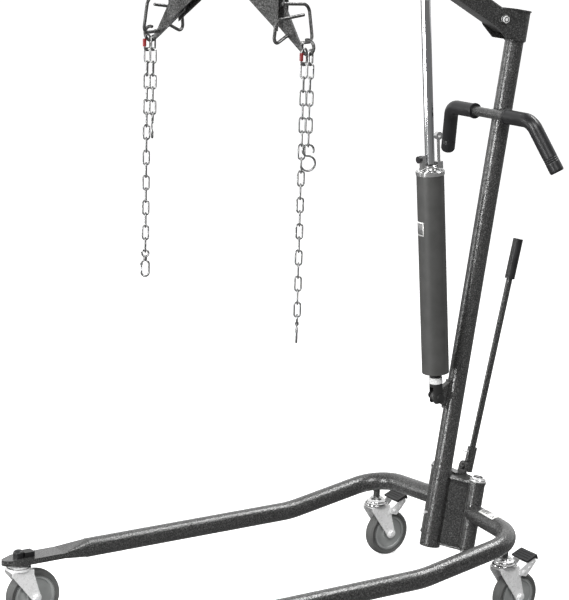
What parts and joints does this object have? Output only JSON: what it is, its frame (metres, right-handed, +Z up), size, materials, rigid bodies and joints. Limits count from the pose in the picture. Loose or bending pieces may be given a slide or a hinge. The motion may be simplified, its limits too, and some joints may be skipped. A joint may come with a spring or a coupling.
{
  "type": "patient lift hoist",
  "caption": "Mobile patient lift with a leaning mast on spreading wheeled legs, a hydraulic ram under a raised boom, and a swivel cradle with sling chains.",
  "frame": {"origin": "on the floor under the centre of the outline", "axes": "+Z up, the legs and boom point along -Y, the operator stands at +Y, X = 0 is the mirror plane of the frame"},
  "size_m": [0.654, 1.3504, 1.8214],
  "materials": {
    "powder": "dark grey hammertone coat",
    "zinc": "zinc plated",
    "black": "matt",
    "chrome": "polished",
    "rubber": "matt grey",
    "hub": "satin",
    "rampaint": "matt",
    "red": "satin",
    "blackmetal": "satin black"
  },
  "bodies": {
    "base": {"mast_socket": "powder", "pivot_housing": "powder", "leg_pivot_bolts": "zinc", "mast_tube": "powder", "mast_fasteners": "zinc", "head_bracket": "powder", "ram_lug": "powder", "handlebar": "powder", "handle_grips": "black", "lever_bracket": "powder", "ram_foot_pin": "blackmetal"},
    "left_leg": {"left_leg": "powder", "left_leg_nut": "black"},
    "right_leg": {"right_leg": "powder", "right_leg_nut": "black"},
    "lever": {"shift_lever": "powder", "lever_grip": "black", "lever_screw": "zinc"},
    "fl_caster": {"fl_fork": "zinc"},
    "fr_caster": {"fr_fork": "zinc"},
    "rl_caster": {"rl_fork": "zinc"},
    "rr_caster": {"rr_fork": "zinc"},
    "fl_wheel": {"fl_tyre": "rubber", "fl_hub": "hub"},
    "fr_wheel": {"fr_tyre": "rubber", "fr_hub": "hub"},
    "rl_wheel": {"rl_tyre": "rubber", "rl_hub": "hub"},
    "rr_wheel": {"rr_tyre": "rubber", "rr_hub": "hub"},
    "rl_brake": {"rl_brake_arm": "zinc", "rl_pedal": "black"},
    "rr_brake": {"rr_brake_arm": "zinc", "rr_pedal": "black"},
    "ram": {"ram_body": "rampaint", "ram_cap": "zinc", "ram_foot": "blackmetal"},
    "knob": {"release_knob": "black"},
    "plunger": {"pump_plunger": "chrome"},
    "rod": {"ram_rod": "chrome", "rod_eye": "zinc"},
    "boom": {"boom": "powder", "boom_lug": "powder", "hanger_cheeks": "powder"},
    "hanger": {"hanger": "zinc"},
    "cradle": {"cradle_bar": "powder", "cradle_blades": "powder", "cradle_hooks": "powder"},
    "a_long": {"a_long_chain": "zinc", "a_link_sleeve": "red", "a_snap_hook": "zinc"},
    "b_long": {"b_long_chain": "zinc", "b_link_sleeve": "red", "b_snap_hook": "zinc"},
    "a_short": {"a_short_chain": "zinc"},
    "b_short": {"b_short_chain": "zinc"},
    "a_gate": {"a_gate": "chrome"},
    "b_gate": {"b_gate": "chrome"}
  },
  "joints": [
    {"name": "boom_lift", "type": "hinge", "parent": "base", "child": "boom", "pos_m": [0, 0.55678, 1.48986], "axis": [-1, 0, 0], "range_deg": [-45, 0]},
    {"name": "ram_tilt", "type": "hinge", "parent": "base", "child": "ram", "pos_m": [0, 0.41477, 0.525], "axis": [1, 0, 0], "range_deg": [-0.1, 0.02]},
    {"name": "rod_slide", "type": "slide", "parent": "ram", "child": "rod", "axis": [0, -0.0849, 0.9964], "range_m": [-0.186, 0]},
    {"name": "hanger_pitch", "type": "hinge", "parent": "boom", "child": "hanger", "pos_m": [0, -0.23923, 1.74], "axis": [-1, 0, 0], "range_deg": [0, 45]},
    {"name": "cradle_swivel", "type": "hinge", "parent": "hanger", "child": "cradle", "pos_m": [0, -0.23923, 1.69], "axis": [0, 0, 1], "continuous": true},
    {"name": "a_long_swing", "type": "hinge", "parent": "cradle", "child": "a_long", "pos_m": [0.20436, -0.16078, 1.44224], "axis": [0.9336, 0.3584, 0], "range_deg": [-15, 15]},
    {"name": "a_short_swing", "type": "hinge", "parent": "cradle", "child": "a_short", "pos_m": [0.22135, -0.15426, 1.44224], "axis": [0.9336, 0.3584, 0], "range_deg": [-15, 15]},
    {"name": "b_long_swing", "type": "hinge", "parent": "cradle", "child": "b_long", "pos_m": [-0.22135, -0.3242, 1.44224], "axis": [0.9336, 0.3584, 0], "range_deg": [-15, 15]},
    {"name": "b_short_swing", "type": "hinge", "parent": "cradle", "child": "b_short", "pos_m": [-0.20436, -0.31768, 1.44224], "axis": [0.9336, 0.3584, 0], "range_deg": [-15, 15]},
    {"name": "leg_spread_left", "type": "hinge", "parent": "base", "child": "left_leg", "pos_m": [0.08, 0.486, 0.21288], "axis": [0, 0.1513, 0.9885], "range_deg": [0, 10.5]},
    {"name": "leg_spread_right", "type": "hinge", "parent": "base", "child": "right_leg", "pos_m": [-0.08, 0.486, 0.21288], "axis": [0, 0.1513, 0.9885], "range_deg": [-10.5, 0]},
    {"name": "lever_swing", "type": "hinge", "parent": "base", "child": "lever", "pos_m": [0, 0.53277, 0.318], "axis": [0, 0.9774, -0.2113], "range_deg": [0, 42]},
    {"name": "fl_swivel", "type": "hinge", "parent": "left_leg", "child": "fl_caster", "pos_m": [0.296, -0.63023, 0.15], "axis": [0, 0, 1], "continuous": true},
    {"name": "fl_roll", "type": "hinge", "parent": "fl_caster", "child": "fl_wheel", "pos_m": [0.296, -0.59223, 0.07], "axis": [1, 0, 0], "continuous": true},
    {"name": "fr_swivel", "type": "hinge", "parent": "right_leg", "child": "fr_caster", "pos_m": [-0.296, -0.63023, 0.15], "axis": [0, 0, 1], "continuous": true},
    {"name": "fr_roll", "type": "hinge", "parent": "fr_caster", "child": "fr_wheel", "pos_m": [-0.296, -0.59223, 0.07], "axis": [1, 0, 0], "continuous": true},
    {"name": "rl_swivel", "type": "hinge", "parent": "left_leg", "child": "rl_caster", "pos_m": [0.276, 0.43917, 0.15], "axis": [0, 0, 1], "continuous": true},
    {"name": "rl_roll", "type": "hinge", "parent": "rl_caster", "child": "rl_wheel", "pos_m": [0.276, 0.47717, 0.0635], "axis": [1, 0, 0], "continuous": true},
    {"name": "rr_swivel", "type": "hinge", "parent": "right_leg", "child": "rr_caster", "pos_m": [-0.276, 0.43917, 0.15], "axis": [0, 0, 1], "continuous": true},
    {"name": "rr_roll", "type": "hinge", "parent": "rr_caster", "child": "rr_wheel", "pos_m": [-0.276, 0.47717, 0.0635], "axis": [1, 0, 0], "continuous": true},
    {"name": "rl_brake_press", "type": "hinge", "parent": "rl_caster", "child": "rl_brake", "pos_m": [0.276, 0.48117, 0.131], "axis": [-1, 0, 0], "range_deg": [0, 12]},
    {"name": "rr_brake_press", "type": "hinge", "parent": "rr_caster", "child": "rr_brake", "pos_m": [-0.276, 0.48117, 0.131], "axis": [-1, 0, 0], "range_deg": [0, 12]},
    {"name": "knob_turn", "type": "hinge", "parent": "ram", "child": "knob", "pos_m": [0, 0.32883, 1.14494], "axis": [0, -0.9964, -0.0849], "range_deg": [0, 180]},
    {"name": "plunger_stroke", "type": "slide", "parent": "ram", "child": "plunger", "axis": [0, -0.0849, 0.9964], "range_m": [-0.02, 0]},
    {"name": "a_gate_open", "type": "hinge", "parent": "a_long", "child": "a_gate", "pos_m": [0.1969, -0.15594, 0.80584], "axis": [-0.5446, -0.8387, 0], "range_deg": [0, 28], "stiffness_Nm_per_rad": 0.02, "springref_deg": -5.73},
    {"name": "b_gate_open", "type": "hinge", "parent": "b_long", "child": "b_gate", "pos_m": [-0.2262, -0.33166, 0.89734], "axis": [0.8387, -0.5446, 0], "range_deg": [0, 28], "stiffness_Nm_per_rad": 0.02, "springref_deg": -5.73}
  ],
  "couplings": [
    {"joint": "ram_tilt", "follows": "boom_lift", "ratio": 0.0021},
    {"joint": "rod_slide", "follows": "boom_lift", "m_per_rad": 0.2349},
    {"joint": "hanger_pitch", "follows": "boom_lift", "ratio": -1},
    {"joint": "leg_spread_right", "follows": "leg_spread_left", "ratio": -1},
    {"joint": "lever_swing", "follows": "leg_spread_left", "ratio": 4}
  ]
}
